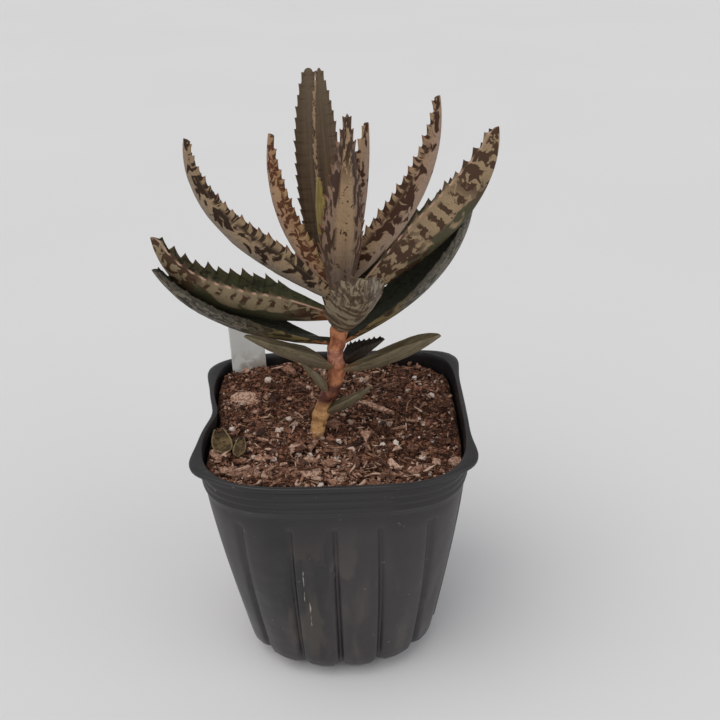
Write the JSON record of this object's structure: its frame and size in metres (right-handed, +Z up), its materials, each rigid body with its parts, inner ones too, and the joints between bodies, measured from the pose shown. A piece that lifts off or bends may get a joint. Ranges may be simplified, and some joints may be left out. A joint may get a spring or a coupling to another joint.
{
  "type": "potted mother of thousands plant",
  "caption": "Succulent with channelled, toothed, brown-mottled leaves on a short woody stem, growing in a soft square fluted nursery pot with a blank plant label.",
  "frame": {"origin": "middle of the pot's flat underside", "axes": "+Z up along the pot's axis, -Y towards the front, +X to the right as seen from the front"},
  "size_m": [0.1281, 0.1121, 0.2444],
  "materials": {
    "pot_plastic": "thin black plastic with a soft sheen, dusty stains and light scratches",
    "potting_mix": "dark brown peat and bark crumbs, rough and matte",
    "bark_stem": "tan to orange woody stem with rough leaf scars",
    "leaf_pink": "waxy pinkish tan leaf with dark brown mottling and reddish teeth",
    "leaf_tan": "waxy tan leaf with dark brown blotches, dark green inside",
    "leaf_dark": "waxy dark brown-green leaf, mottled",
    "leaf_green": "waxy grey-green leaf with brown mottling",
    "leaf_olive": "small olive leaf, slightly dull",
    "leaf_young": "young yellow-green leaf",
    "leaf_withered": "shrivelled dark brown leaf",
    "dried_leaf": "dry, dull, curled",
    "label_plastic": "blank white plastic, satin"
  },
  "bodies": {
    "root": {"pot": "pot_plastic", "potting_mix": "potting_mix", "stem": "bark_stem", "leaf_young_front": "leaf_young", "leaf_young_back": "leaf_young", "leaf_inner_right": "leaf_pink", "leaf_inner_left": "leaf_pink", "leaf_upper_right": "leaf_pink", "leaf_upper_left": "leaf_tan", "leaf_front_tall": "leaf_tan", "leaf_back_tall": "leaf_dark", "leaf_broad_right": "leaf_tan", "leaf_broad_left": "leaf_tan", "leaf_front_low": "leaf_green", "leaf_back_low": "leaf_dark", "leaf_low_left": "leaf_green", "leaf_low_right": "leaf_dark", "leaf_stub_back": "leaf_withered", "leaf_small_left": "leaf_olive", "leaf_small_right": "leaf_olive", "leaf_bract_left": "leaf_olive", "leaf_bract_right": "leaf_olive", "plant_label": "label_plastic", "shed_leaf_left": "dried_leaf", "shed_leaf_front": "dried_leaf"}
  },
  "joints": []
}
